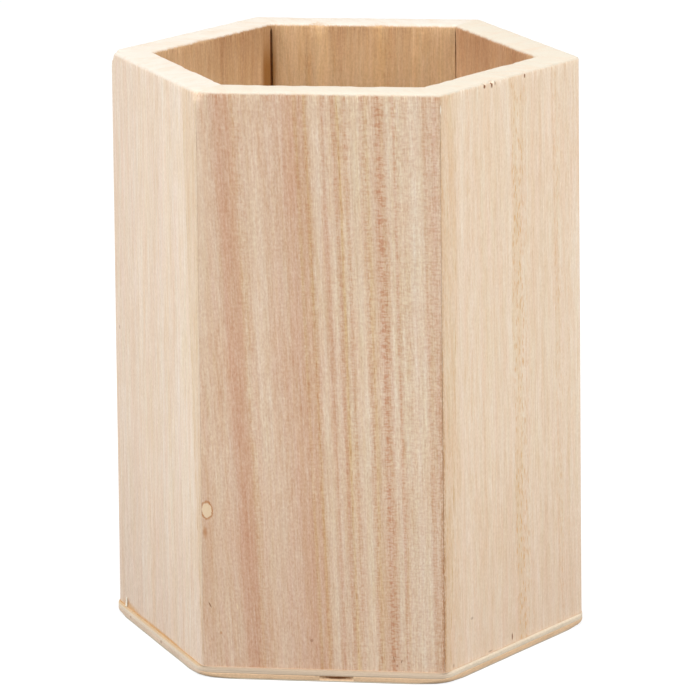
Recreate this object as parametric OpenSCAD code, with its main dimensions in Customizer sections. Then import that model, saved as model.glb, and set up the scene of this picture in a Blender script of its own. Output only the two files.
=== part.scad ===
// Hexagonal wooden pen holder: six mitred boards glued into a ring that stands on a thin plywood base.
// Millimetres. +Z is up, the origin is the middle of the underside, and the front board faces -Y.

/* [Walls] */
// Distance between opposite outer faces
across_flats = 70.5; // [50:0.5:120]
// Height of the boards
wall_h = 98; // [60:1:160]
// Thickness of the boards
wall_t = 6.5; // [4:0.1:12]
// Radius of the outer upright edges
arris_r = 1; // [0.2:0.1:2]
// Radius of the rim's outer edge
rim_r = 0.6; // [0.2:0.1:1.5]
// Radius of the rim's inner edge
mouth_r = 0.3; // [0.1:0.1:1.5]

/* [Glue] */
// Thickness of the glue in each mitre
mitre_glue_t = 0.15; // [0.1:0.05:0.4]
// Thickness of the glue between the boards and the base
bed_t = 0.1; // [0.1:0.05:0.4]
// How far the glue stops short of the faces that show
glue_recess = 0.3; // [0.1:0.1:1]

/* [Base] */
// How far the base stands out past the walls
base_overhang = 0.7; // [0.5:0.1:4]
// Radius of the base's corners in plan
base_corner_r = 3.5; // [1:0.5:10]
// Thickness of the upper ply
face_ply_t = 0.9; // [0.4:0.1:3]
// Thickness of the core ply
core_ply_t = 0.8; // [0.4:0.1:3]
// Thickness of the lower ply
back_ply_t = 0.2; // [0.2:0.1:3]

/* [Hidden] */
$fn = 64;

// Angles of the hexagon: from one board to the next, and from a board's middle to its mitre
sides = 6;
turn = 360 / sides;
mitre = turn / 2;

// Distances from the middle to the outer, inner and base faces
outer_a = across_flats / 2;
inner_a = outer_a - wall_t;
base_a = outer_a + base_overhang;

// Heights of the layers, from the underside up
core_z = back_ply_t;
face_z = core_z + core_ply_t;
bed_z = face_z + face_ply_t;
wall_z = bed_z + bed_t;

// Reach of a mitre's glue, measured from the middle towards the corner
glue_from = inner_a / cos(mitre) + glue_recess;
glue_to = (outer_a - arris_r) / cos(mitre) + arris_r - glue_recess;
glue_h = wall_h - rim_r;

// Colours of the woods and the glue
front_wood = [0.83, 0.70, 0.58];
right_wood = [0.90, 0.81, 0.70];
left_wood = [0.92, 0.84, 0.75];
inside_wood = [0.80, 0.66, 0.48];
glue_brown = [0.45, 0.30, 0.18];
face_ply_wood = [0.93, 0.86, 0.74];
core_ply_wood = [0.80, 0.62, 0.44];
back_ply_wood = [0.74, 0.68, 0.60];

// Hexagon with two faces across Y, given the distance from its middle to a face
module hexagon(apothem) {
    circle(r = apothem / cos(mitre), $fn = sides);
}

// The same hexagon with rounded corners
module rounded_hexagon(apothem, r) {
    flat = 2 * (apothem - r) * tan(mitre);
    for (i = [0 : sides / 2 - 1])
        rotate(i * turn)
            square([flat, 2 * apothem], center = true);
    for (i = [0 : sides - 1])
        rotate(i * turn)
            translate([(apothem - r) / cos(mitre), 0])
                circle(r);
}

// Plan of the front board: its share of the ring, cut back on each mitre by half the glue
module board_plan() {
    reach = 2 * outer_a;
    tip = mitre_glue_t / 2 / sin(mitre);
    intersection() {
        rounded_hexagon(outer_a, arris_r);
        polygon([
            [0, -tip],
            [-reach * tan(mitre), -tip - reach],
            [reach * tan(mitre), -tip - reach]
        ]);
    }
}

// Waste that rounds a top edge, with the edge at the origin and the wood towards -X and -Y
module edge_waste(r) {
    translate([-r, -r])
        difference() {
            square(2 * r);
            circle(r);
        }
}

// Upright section through a board from its outer to its inner face, with the rim's edges rounded
module board_section() {
    difference() {
        translate([-outer_a - wall_t, 0])
            square([2 * wall_t, wall_h]);
        translate([-outer_a, wall_h])
            mirror([1, 0])
                edge_waste(rim_r);
        translate([-inner_a, wall_h])
            edge_waste(mouth_r);
    }
}

// One board of the ring, counted anticlockwise from the front
module board(i) {
    translate([0, 0, wall_z])
        rotate(i * turn)
            intersection() {
                linear_extrude(wall_h)
                    board_plan();
                rotate([90, 0, 90])
                    translate([0, 0, -outer_a])
                        linear_extrude(2 * outer_a)
                            board_section();
            }
}

// Glue in one mitre, counted anticlockwise from the front right corner
module mitre_glue(i) {
    rotate((i - 1) * turn)
        translate([glue_from, -mitre_glue_t / 2, wall_z])
            cube([glue_to - glue_from, mitre_glue_t, glue_h]);
}

// One layer of the plywood base
module ply(z, t) {
    translate([0, 0, z])
        linear_extrude(t)
            rounded_hexagon(base_a, base_corner_r);
}

module front_wall() {
    color(front_wood)
        board(0);
}

module front_right_wall() {
    color(right_wood)
        board(1);
}

module back_right_wall() {
    color(inside_wood)
        board(2);
}

module back_wall() {
    color(inside_wood)
        board(3);
}

module back_left_wall() {
    color(inside_wood)
        board(4);
}

module front_left_wall() {
    color(left_wood)
        board(5);
}

module front_right_corner_glue() {
    color(glue_brown)
        mitre_glue(0);
}

module right_corner_glue() {
    color(glue_brown)
        mitre_glue(1);
}

module back_right_corner_glue() {
    color(glue_brown)
        mitre_glue(2);
}

module back_left_corner_glue() {
    color(glue_brown)
        mitre_glue(3);
}

module left_corner_glue() {
    color(glue_brown)
        mitre_glue(4);
}

module front_left_corner_glue() {
    color(glue_brown)
        mitre_glue(5);
}

// Ring of glue under the boards
module base_glue_bed() {
    color(glue_brown)
        translate([0, 0, bed_z])
            linear_extrude(bed_t)
                difference() {
                    hexagon(outer_a - glue_recess);
                    hexagon(inner_a + glue_recess);
                }
}

module base_face_ply() {
    color(face_ply_wood)
        ply(face_z, face_ply_t);
}

module base_core_ply() {
    color(core_ply_wood)
        ply(core_z, core_ply_t);
}

module base_back_ply() {
    color(back_ply_wood)
        ply(0, back_ply_t);
}

front_wall();
front_right_wall();
back_right_wall();
back_wall();
back_left_wall();
front_left_wall();
front_right_corner_glue();
right_corner_glue();
back_right_corner_glue();
back_left_corner_glue();
left_corner_glue();
front_left_corner_glue();
base_glue_bed();
base_face_ply();
base_core_ply();
base_back_ply();
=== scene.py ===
"""Dresses the hexagonal pen holder: bare boards, glued mitres and a thin plywood base on a white stage."""
import math
from typing import NamedTuple

import bmesh
import bpy
from mathutils import Color, Matrix, Vector, noise


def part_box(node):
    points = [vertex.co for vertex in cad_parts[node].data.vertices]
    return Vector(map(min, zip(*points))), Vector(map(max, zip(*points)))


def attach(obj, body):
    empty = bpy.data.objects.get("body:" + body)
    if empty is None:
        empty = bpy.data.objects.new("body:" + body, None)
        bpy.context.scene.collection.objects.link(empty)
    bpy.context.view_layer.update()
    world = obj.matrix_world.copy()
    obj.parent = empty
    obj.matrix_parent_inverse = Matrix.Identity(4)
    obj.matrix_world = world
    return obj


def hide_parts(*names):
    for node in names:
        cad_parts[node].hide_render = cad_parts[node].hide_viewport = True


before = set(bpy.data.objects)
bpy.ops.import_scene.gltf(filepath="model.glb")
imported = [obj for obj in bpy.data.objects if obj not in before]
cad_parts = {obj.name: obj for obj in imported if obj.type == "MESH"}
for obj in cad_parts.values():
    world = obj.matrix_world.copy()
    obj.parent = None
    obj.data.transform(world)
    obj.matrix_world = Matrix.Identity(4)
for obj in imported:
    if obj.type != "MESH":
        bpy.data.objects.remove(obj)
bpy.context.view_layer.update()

bl_info = {
    "name": "Pen holder",
    "version": (1, 0, 0),
    "blender": (4, 5, 0),
    "location": "View3D > Sidebar > Pen holder",
    "description": "Builds the boards, glue lines, base and stage of a hexagonal wooden pen holder",
    "category": "Object",
}

MM = 0.001
BODY = "root"
BLACK = (0, 0, 0, 1)
WHITE = (1, 1, 1, 1)

# Sizes of the carried CAD model, in metres
WALL_LOW, WALL_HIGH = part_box("front_wall")
OUTER = -WALL_LOW.y
INNER = -WALL_HIGH.y
MIDDLE = (OUTER + INNER) / 2
FOOT = WALL_LOW.z
RIM = WALL_HIGH.z
BASE = -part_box("base_face_ply")[0].y
CENTRE = Vector((0, 0, RIM / 2))

# The same in millimetres, in which the shaders of the boards count
OUTER_MM = OUTER / MM
MIDDLE_MM = MIDDLE / MM
FOOT_MM = FOOT / MM
RIM_MM = RIM / MM

# The hexagon: from one board to the next, and from a board's middle to its mitre
SIDES = 6
TURN = math.tau / SIDES
MITRE = TURN / 2
MITRE_SIN = math.sin(MITRE)
MITRE_COS = math.cos(MITRE)
MITRE_TAN = math.tan(MITRE)
HALF_SIDE = OUTER * MITRE_TAN

# Faces with this many corners or more are flat ends and plates, and are shaded flat
LARGE_FACE = 9

# Smooth shading breaks at edges that are sharper than this
SHARP_ANGLE = math.radians(35)

# Two places this close are the same, and an outer face lies no deeper than the skin
SAME = 0.01 * MM
SKIN = 0.6 * MM

# Segments of rounded edges and corners, and cuts of straight sides
RIM_SEGMENTS = 5
MOUTH_SEGMENTS = 6
ARRIS_STEPS = 5
CORNER_SEGMENTS = 10
RING_SIDE_CUTS = 40
PLY_SIDE_CUTS = 70
PLY_EDGE_CUTS = 7

# Sanding: waves per metre over the faces, along the rim's edges and through the board
FACE_WAVES = 55
UPRIGHT_WAVES = 30
EDGE_WAVES = 220
NICK_WAVES = 600
DEPTH_WAVES = 90

# Sanding: how far down from the rim it shows, and what it takes off there
SANDED_BAND = 1.5 * MM
OUTER_LOSS = 0.1 * MM
INNER_LOSS = 0.25 * MM
TOP_LOSS = 0.06 * MM

# Knocks in the rim: where the mesh is cut finer, in radii, and how its edge goes in and down, in depths
KNOCK_CUTS = (-0.8, -0.4, 0, 0.4, 0.8)
CHIP_PUSH = 1
DENT_PUSH = -0.6
KNOCK_DROP = 0.8

# The line scored along a strip: half its width in millimetres, and its depth
SCORE_HALF = 0.12
SCORE_DEPTH = 0.05 * MM

# The joints start to close, and their glue stops, this many joint caps below the rim
CLOSING_START = 1.5
GLUE_STOP = 1.6

# The glue in the joints: how ragged its edges are, and half its thickness in open widths
GLUE_RAGGED = 0.08 * MM
GLUE_HALF = 0.49

# The sliver at the foot of the front left board: its sizes, then shares of its width and depth
SPLINTER_PLACE = -16.0 * MM
SPLINTER_WIDTH = 0.55 * MM
SPLINTER_DEPTH = 0.2 * MM
SPLINTER_SUNK = 0.05 * MM
SPLINTER_THINNING = 0.7
SPLINTER_LEAN = 0.7
SPLINTER_GAP = 0.2
SPLINTER_BEND = 0.8

# The base's edges: how far they wander, in waves per metre, and how near a corner they wear away
PLY_WANDER = 0.05 * MM
PLY_WAVES = 180
WORN_REACH = 5 * MM

# The void torn in the core ply's front edge
VOID_START = -0.3 * MM
VOID_STOP = 4.9 * MM
VOID_DEPTH = 0.6 * MM
VOID_SKIN = 0.4 * MM

# The floor: how far it reaches, laps under the base and lies below it, and what the camera sees of it
FLOOR_REACH = 3.0
FLOOR_LAP = 2 * MM
FLOOR_DROP = 0.02 * MM
FLOOR_GREY = 0.3
FLOOR_GLOW = 0.76


class Strip(NamedTuple):
    """A strip of other wood along one end of a board.

    end: -1 or 1, the board's left or right end
    at_rim, at_foot, soft: its widths and how soft its edge is, in millimetres
    bow: 1 for a straight edge, and more for one that curves
    depth, gold: how much darker and more golden it is
    """

    end: int
    at_rim: float
    at_foot: float
    bow: float
    soft: float
    depth: float
    gold: float


class Spot(NamedTuple):
    """A small mark on an outer face: its place and half sizes in millimetres, and its lean in degrees."""

    kind: str
    across: float
    height: float
    half_width: float
    half_height: float
    lean: float = 0.0


class Board(NamedTuple):
    """One board of the ring.

    lean, gather, wander: how its grain lines lean, gather towards the foot and wander
    fibre, rungs, dashes: how strongly its fibres, its beads and its open pores show
    inside: how dark it is in the well, painted shade
    streaks: (place at the rim in millimetres, how dark, how golden, how porous), from 0 to about 1
    chips, dents: (place, depth, radius) of knocks in its outer and inner edge at the rim, in millimetres
    shade: painted shade, as the light falls off downwards: how much it darkens towards mid height and towards
    the foot, a negative share painting the middle lighter
    rosy: how rosy it is all over
    """

    name: str
    node: str
    lean: float
    wander: float
    fibre: float
    rungs: float
    streaks: tuple
    gather: float = 0.0
    dashes: float = 1.0
    inside: float = 0.3
    strip: Strip = None
    spots: tuple = ()
    chips: tuple = ()
    dents: tuple = ()
    shade: tuple = (0.0, 0.07)
    rosy: float = 0.0


class Joint(NamedTuple):
    """One glued mitre.

    arris, base_corner: radii of its outer corner and of the base's corner under it, in millimetres
    open_outside, open_inside: how wide it stands open, in millimetres
    sunk_inside: how far its glue lies back from the inner corner, in millimetres
    stain_outside, stain_and_shade_inside: how strongly dirt and glue show along it, and inside also painted
    shade
    """

    name: str
    node: str
    arris: float
    base_corner: float
    open_outside: float
    open_inside: float
    sunk_inside: float
    stain_outside: float
    stain_and_shade_inside: float


class Tones(NamedTuple):
    """Colours of one board's pale and dark wood, its end grain and its open pores."""

    pale: Color
    dark: Color
    end: Color
    pores: Color


# Boards are counted anticlockwise from the front
BOARDS = (
    Board(
        "front_board", "front_wall", lean=0.03, gather=0.0009, wander=0.16, fibre=0.9, rungs=0.9,
        streaks=(
            (-20.3, 0.45, 0.05, 0.05), (-18.9, 0.55, 0.05, 0.2), (-18.3, 0.5, 0.05, 0.1),
            (-17.6, 0.6, 0.05, 0.05), (-16.9, 0.95, 0, 0.05), (-16, 1.05, 0, 0.1), (-15, 1.05, 0, 0.05),
            (-14.6, 0.95, 0.05, 0.1), (-14, 0.55, 0.3, 0.4), (-13.6, 0.5, 0.15, 0.4),
            (-12.9, 0.55, 0.05, 0.3), (-12, 0.45, 0.05, 0), (-11.3, 0.35, 0.05, 0), (-10.4, 0.4, 0, 0),
            (-9.4, 0.5, 0, 0.05), (-7.7, 0.6, 0, 0.2), (-6.8, 0.6, 0, 0.1), (-6.3, 0.65, 0, 0.1),
            (-6, 0.8, 0, 0.1), (-4.8, 0.85, 0.05, 0.05), (-4.1, 0.95, 0.1, 0.1), (-3.6, 0.65, 0.5, 0.5),
            (-3, 0.75, 0.15, 0.15), (-2.6, 0.8, 0.1, 0.15), (-2, 0.6, 0.6, 0.6), (-1.6, 0.55, 0.3, 0.4),
            (-1.3, 0.55, 0.1, 0.3), (-1, 0.35, 0.1, 0.1), (-0.2, 0.25, 0.05, 0), (0.3, 0.55, 0.1, 0.2),
            (0.8, 0.8, 0.05, 0.35), (1.3, 0.4, 0, 0.35), (2, 0.35, 0.05, 0.3), (2.7, 0.85, 0.1, 0.5),
            (3, 0.6, 0.3, 0.5), (3.3, 0.15, 0.6, 0.7), (3.8, 0.2, 0.2, 0.5), (4.5, 0.6, 0.1, 0.6),
            (5.1, 0.35, 0.05, 0.4), (5.7, 0.2, 0.05, 0.15), (6.6, 0.1, 0.1, 0.3), (7.2, 0.5, 0.1, 0.6),
            (7.6, 0.55, 0.25, 0.8), (7.9, 0.25, 0.45, 0.7), (8.6, 0.35, 0.2, 0.3), (9.2, 0.5, 0.1, 0.6),
            (9.8, 0.95, 0.1, 0.9), (10.5, 0.65, 0.2, 0.9), (11, 0.45, 0.1, 0.6), (11.5, 0.2, 0.05, 0.5),
            (12, 0.2, 0.1, 0.4), (12.4, 0.8, 0.05, 0.7), (12.8, 0.25, 0.25, 0.7), (13.4, 0.15, 0.1, 0.6),
            (14.6, 0.2, 0.05, 0.65), (15.3, 0.15, 0, 0.5), (16.8, 0.15, 0.05, 0.4),
            (17.5, 0.6, 0.1, 0.6), (18.3, 0.45, 0.1, 0.6), (19, 0.7, 0, 0.5), (19.5, 0.5, 0.1, 0.5),
            (20.3, 0.3, 0.15, 0.5)),
        spots=(
            Spot("halo", -19.4, 22, 2.2, 20), Spot("sheen", -19.2, 82, 2.0, 22),
            Spot("knot", -19.3, 29.2, 1.0, 1.5), Spot("smudge_and_shadow", -19.6, 25.4, 0.6, 1.5),
            Spot("slit", -19.0, 12.8, 0.12, 0.6, 25), Spot("gleam", -14.4, 12.6, 0.12, 0.6, 10),
            Spot("dot", -1.9, 7, 0.35, 0.35), Spot("smudge_and_shadow", -17.2, 7.9, 0.25, 0.4),
            Spot("slit", 11.9, 4.2, 0.08, 0.5, 12), Spot("slit", 13.2, 3.8, 0.08, 0.4, -15),
            # The pale mark at the top of the left end is a painted highlight where the rounded arris meets
            # the rim
            Spot("slit", 12.4, 3.0, 0.08, 0.35), Spot("corner_highlight", -20.3, 98.5, 1.6, 2.4)),
        chips=((-20.0, 0.5, 2.0),),
        shade=(-0.022, 0.04),
    ),
    Board(
        "front_right_board", "front_right_wall", lean=0.012, wander=0.3, fibre=0.7, rungs=0.15, dashes=2.2,
        streaks=(
            (-20.3, 0.55, 0.1, 0.4), (-18.8, 0.4, 0.1, 0.3), (-16.8, 0.3, 0.15, 0.2),
            (-15.6, 0.3, 0.05, 0.05), (-13.4, 0.2, 0.1, 0.1), (-12.5, 0.25, 0.1, 0.3),
            (-11, 0.22, 0.1, 0.1), (-8.9, 0.25, 0.1, 0.2), (-7.5, 0.2, 0.15, 0.1),
            (-5.3, 0.25, 0.1, 0.1), (-3.5, 0.35, 0.05, 0.1), (-1.2, 0.25, 0.1, 0.1),
            (-0.6, 0.25, 0.1, 0.3), (0, 0.28, 0.2, 0.7), (0.6, 0.25, 0.32, 0.7), (1.5, 0.2, 0.28, 0.7),
            (2.3, 0.15, 0.2, 0.7), (3.1, 0.28, 0.08, 0.5), (4.2, 0.3, 0.05, 0.35), (5, 0.2, 0.1, 0.05),
            (5.7, 0.25, 0.1, 0), (7.3, 0.35, 0.05, 0), (8.3, 0.5, 0.05, 0), (9.5, 0.25, 0.1, 0),
            (10.9, 0.25, 0.05, 0), (11.7, 0.25, 0.05, 0.1), (12.2, 0.38, 0.1, 0.5),
            (13.2, 0.3, 0.1, 0.6), (14, 0.25, 0.05, 0.3), (14.9, 0.3, 0.05, 0.1),
            (15.9, 0.45, 0.05, 0.3), (16.7, 0.25, 0.05, 0.2), (17.7, 0.15, 0.1, 0.1),
            (20.3, 0.1, 0.1, 0.1)),
        strip=Strip(-1, at_rim=4.3, at_foot=1.4, bow=2, soft=0.6, depth=0.14, gold=0.1),
        spots=(
            Spot("dot", -12.6, 9.5, 0.4, 0.3), Spot("chip", -5.6, 99.3, 0.3, 0.7),
            Spot("chip", -4.7, 99.4, 0.14, 0.5), Spot("chip", -7.7, 99.3, 0.32, 0.4),
            Spot("chip", 3.8, 99.3, 0.25, 0.5), Spot("fleck", -20.0, 97.4, 0.2, 0.9),
            Spot("chip", -0.9, 3.2, 0.18, 0.7), Spot("dot", -7.4, 2.3, 0.7, 0.2),
            Spot("dot", -18.0, 2.6, 0.3, 0.4)),
        chips=((-7.7, 0.35, 0.6), (-5.6, 0.55, 0.75), (3.8, 0.25, 0.5)),
        shade=(0.0, 0.065),
    ),
    Board(
        "back_right_board", "back_right_wall", lean=-0.01, wander=0.5, fibre=0.8, rungs=0.3, inside=0.36,
        streaks=(
            (-20.3, 0.5, 0, 0.2), (-15, 0.7, 0, 0.4), (-12, 0.4, 0.1, 0.5), (-8, 0.55, 0, 0.2),
            (-5, 0.9, 0, 0.6), (-2, 0.6, 0.1, 0.2), (0, 0.6, 0, 0.1), (3, 0.5, 0.1, 0.6),
            (4.2, 0.6, 0.1, 0.6), (6.5, 1, 0, 0.2), (8.5, 0.95, 0, 0.1), (11, 0.95, 0.1, 0.1),
            (13, 0.8, 0, 0.2), (15, 0.75, 0, 0.4), (20.3, 0.5, 0, 0.2)),
        rosy=0.4,
    ),
    Board(
        "back_board", "back_wall", lean=0.006, wander=0.5, fibre=0.8, rungs=0.3, inside=0.18,
        streaks=(
            (-20.3, 0.4, 0.1, 0.2), (-16, 0.05, 0.1, 0.4), (-12.6, 0, 0.15, 0.2), (-9.4, 0.5, 0.2, 0.5),
            (-7.8, 0.35, 0.2, 0.3), (-6.8, 0.05, 0.25, 0.3), (-5.8, 0.5, 0.2, 0.2),
            (-3.8, 0.65, 0.1, 0.3), (-1.6, 0.75, 0.3, 0.6), (-0.5, 0.3, 0.5, 0.3), (0.6, 0.6, 0.2, 0.2),
            (2.8, 0.7, 0.1, 0.1), (5.2, 0.75, 0.1, 0.2), (6.8, 1, 0.1, 0.6), (8.2, 0.8, 0.2, 0.3),
            (9.2, 0.2, 0.2, 0.1), (10.3, 0.15, 0.2, 0.1), (11.4, 0.5, 0.2, 0.4), (12.5, 0.65, 0.3, 0.8),
            (13.6, 0.1, 0.2, 0.3), (15.6, 0.05, 0.1, 0.1), (17.8, 0.3, 0.2, 0.2), (20.3, 0.4, 0.1, 0.2)),
        dents=((8.3, 0.6, 2.6), (-3.0, 0.35, 3.0)),
    ),
    Board(
        "back_left_board", "back_left_wall", lean=0.004, wander=0.5, fibre=0.8, rungs=0.3, inside=0.36,
        streaks=(
            (-20.3, 0.5, 0.2, 0.2), (-15, 0.4, 0.2, 0.2), (-12, 0.45, 0.2, 0.1), (-9.8, 0.75, 0.2, 0.1),
            (-7.4, 0.6, 0.2, 0.2), (-6.2, 0.8, 0.2, 0.6), (-5.2, 0.6, 0.2, 0.2), (-2.8, 0.75, 0.2, 0.2),
            (-0.9, 0.75, 0.2, 0.5), (-0.4, 0.95, 0.2, 0.8), (0.4, 0.6, 0.2, 0.3), (4, 0.5, 0.1, 0.1),
            (6.4, 0.3, 0.2, 0.3), (8.6, 0.1, 0.2, 0.3), (11, 0, 0.2, 0.3), (15, 0.05, 0.1, 0.1),
            (20.3, 0.2, 0.1, 0.1)),
        chips=((20.0, 0.9, 2.0),),
        dents=((2.0, 0.3, 3.4),),
    ),
    Board(
        "front_left_board", "front_left_wall", lean=0.002, wander=0.3, fibre=0.85, rungs=0.2,
        streaks=(
            (-20.3, 0.6, 0.1, 0), (-16.8, 0.7, 0.05, 0), (-15.3, 0.75, 0, 0), (-14, 0.6, 0.05, 0),
            (-12.2, 0.6, 0.1, 0), (-9.8, 0.65, 0.05, 0), (-8.6, 0.55, 0.05, 0), (-6.8, 0.4, 0.1, 0),
            (-5, 0.35, 0.15, 0), (-3.2, 0.3, 0.2, 0), (-2, 0.45, 0.2, 0.1), (-0.3, 0.5, 0.1, 0.1),
            (1, 0.4, 0.15, 0), (3, 0.55, 0.1, 0), (3.6, 0.5, 0.05, 0), (4.6, 0.35, 0.1, 0),
            (5.8, 0.15, 0.2, 0), (6.4, 0.2, 0.25, 0.1), (8.2, 0.3, 0.2, 0), (9.8, 0.35, 0.1, 0),
            (11.2, 0.25, 0.1, 0), (12.4, 0.05, 0.2, 0), (13.6, 0.1, 0.2, 0.1), (15, 0.1, 0.2, 0),
            (20.3, 0.2, 0.2, 0)),
        strip=Strip(1, at_rim=6.2, at_foot=0, bow=1, soft=0.1, depth=0.25, gold=0.18),
        spots=(
            # The runs along the foot are glue with painted shade where the board meets the base
            Spot("dot", -17.5, 52, 0.4, 0.4), Spot("run", -3.0, 2.0, 16.0, 0.5),
            Spot("run", -14.5, 2.3, 5.0, 0.9), Spot("run", 4.0, 2.0, 9.0, 0.3),
            # The smudge beside the splinter is its painted shadow
            Spot("smudge_and_shadow", -15.2, 2.9, 0.4, 0.8)),
        chips=((-20.0, 0.9, 2.0), (20.0, 0.5, 2.0)),
        shade=(0.0, 0.095),
    ),
)

# Joints are counted anticlockwise from the front right corner, their numbers in the order of the fields
JOINTS = (
    Joint("front_right_glue_line", "front_right_corner_glue", 0.8, 3.5, 0.05, 0.1, 0.2, 0.7, 0.2),
    Joint("right_glue_line", "right_corner_glue", 1.2, 3.5, 0.03, 0.12, 0.2, 0.1, 0.2),
    Joint("back_right_glue_line", "back_right_corner_glue", 1.5, 4, 0.05, 0.22, 0.1, 0.2, 0.05),
    Joint("back_left_glue_line", "back_left_corner_glue", 1.5, 4, 0.05, 0.45, 0.0, 0.3, 1.0),
    Joint("left_glue_line", "left_corner_glue", 2.2, 3.5, 0.03, 0.12, 0.2, 0.1, 0.2),
    Joint("front_left_glue_line", "front_left_corner_glue", 2.0, 4, 0.03, 0.1, 0.2, 0.0, 0.2),
)

# Marks on the edge of the core ply: (board that they lie under, mark)
CORE_MARKS = (
    (0, Spot("void", 2.3, 0.62, 2.7, 0.24)),
    (5, Spot("dot", -13.2, 0.8, 0.5, 0.3)),
    (5, Spot("dot", 1.9, 0.8, 0.6, 0.35)),
)

# Kinds of marks: how strongly they show, the share of their radius that is full, and their colour
SPOT_LOOKS = {
    # Smudges are real stains, and beside the splinter a painted shadow
    "smudge_and_shadow": (0.7, 0.0, "pores"),
    "halo": (0.2, 0.0, "pores"),
    "sheen": (0.3, 0.0, "front_pale"),
    # Glue run at the foot, partly painted shade
    "run": (0.65, 0.2, "bed_side"),
    "slit": (0.8, 0.5, "glue"),
    "fleck": (0.8, 0.5, "sliver"),
    "gleam": (0.7, 0.5, "heart"),
    "dot": (0.35, 0.5, "glue"),
    "chip": (0.95, 0.5, "glue"),
    "void": (0.95, 0.5, "glue"),
    # A painted highlight
    "corner_highlight": (0.5, 0.3, "right_pale"),
}

# Fine structure of the boards: waves per millimetre across, into and along the grain, and levels of detail
FIBRES = {
    "Long": ((2.8, 1.0, 0.03), 2.0),
    "Short": ((4.5, 2.5, 0.3), 1.0),
    "Grit": ((3.6, 3.0, 1.9), 1.0),
    "Rungs": ((1.0, 1.0, 3.0), 1.0),
    "Tone": ((2.6, 2.0, 0.25), 1.0),
    "Hue": ((0.9, 0.6, 0.05), 2.0),
    "Rose": ((0.8, 0.6, 0.07), 2.0),
    "Blotch": ((0.15, 0.12, 0.04), 2.0),
}

# Fine structure of the plies, in the same way, and how strongly each part shows
PLY_FIBRES = (
    ((0.06, 2.2, 5.0), 4.0, 0.28),
    ((0.09, 0.2, 0.6), 2.0, 0.25),
    ((2.0, 2.0, 4.0), 2.0, 0.12),
)

# Open pores in millimetres, and the share of them that is open
PORE_WIDTH = 0.22
PORE_LENGTH = 1.6
PORE_SHARE = 0.5

# Heights in millimetres of a painted shade, as the light falls off downwards: boards darken between the first
# two, and below the last they go on darker and rosy to the foot
SHADE_START = 90.0
SHADE_HALFWAY = 50.0
LOW_START = 45.0

# Depth in millimetres over which the wood in the well is painted paler below the rim, against the shade that
# deepens down the well
WELL_FADE = 11

# Distances from a mitre in millimetres over which stains come in: outside, and inside at both ends of a
# board, where glue and painted shade darken the corner
FRAYED_BAND = (-0.8, -0.1)
SMEARED_BANDS = ((-3.2, -1.8), (-1.6, 0.0))

# The base's front edge ends, and its other edges start, this far from the middle
FRONT_STOP = 20 * MM
SIDE_START = 22 * MM


def tint(name, description, red, green, blue):
    """A colour property written as it looks on screen, from 0 to 255."""
    return bpy.props.FloatVectorProperty(
        name=name, description=description, size=3, subtype="COLOR_GAMMA", min=0, max=1,
        default=(red / 255, green / 255, blue / 255),
    )


def length(name, description, millimetres):
    """A length property with its default in millimetres."""
    return bpy.props.FloatProperty(
        name=name, description=description, default=millimetres * MM, min=0, unit="LENGTH", precision=5,
    )


def level(name, description, default, **options):
    """A plain number, distance or power."""
    return bpy.props.FloatProperty(name=name, description=description, default=default, **options)


def angle(name, description, degrees):
    """An angle property with its default in degrees."""
    return level(name, description, math.radians(degrees), subtype="ANGLE")


class PenHolderSizes(bpy.types.PropertyGroup):
    """Small sizes of the dressed pieces."""

    rim_radius: length("Rim edge", "Radius of the rim's outer edge", 0.55)
    mouth_radius: length("Mouth edge", "Radius of the rim's inner edge", 0.65)
    rim_lean: length("Rim lean", "How far the boards lean in at the rim", 0.5)
    foot_flare: length("Foot flare", "How far the boards stand out at the foot", 0.2)
    column: length("Column", "Width of the mesh columns on a board", 0.4)
    row: length("Row", "Height of the mesh rows on a board", 1.0)
    wobble: length("Wobble", "How far the sanded faces wander from flat", 0.04)
    joint_cap: length("Joint cap", "Depth below the rim over which the mitres close up", 1.2)
    ply_edge_radius: length("Ply edge", "Radius of the edges of a ply", 0.05)
    ledge_radius: length("Ledge", "Radius of the base's upper edge", 0.35)
    corner_wear: length("Corner wear", "Radius of the base's lower edge at its corners", 0.9)
    squeeze: length("Squeeze", "How far glue stands out under the boards", 0.08)
    splinter_length: length("Splinter", "Length of the sliver torn from the foot of a board", 1.8)


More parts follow.
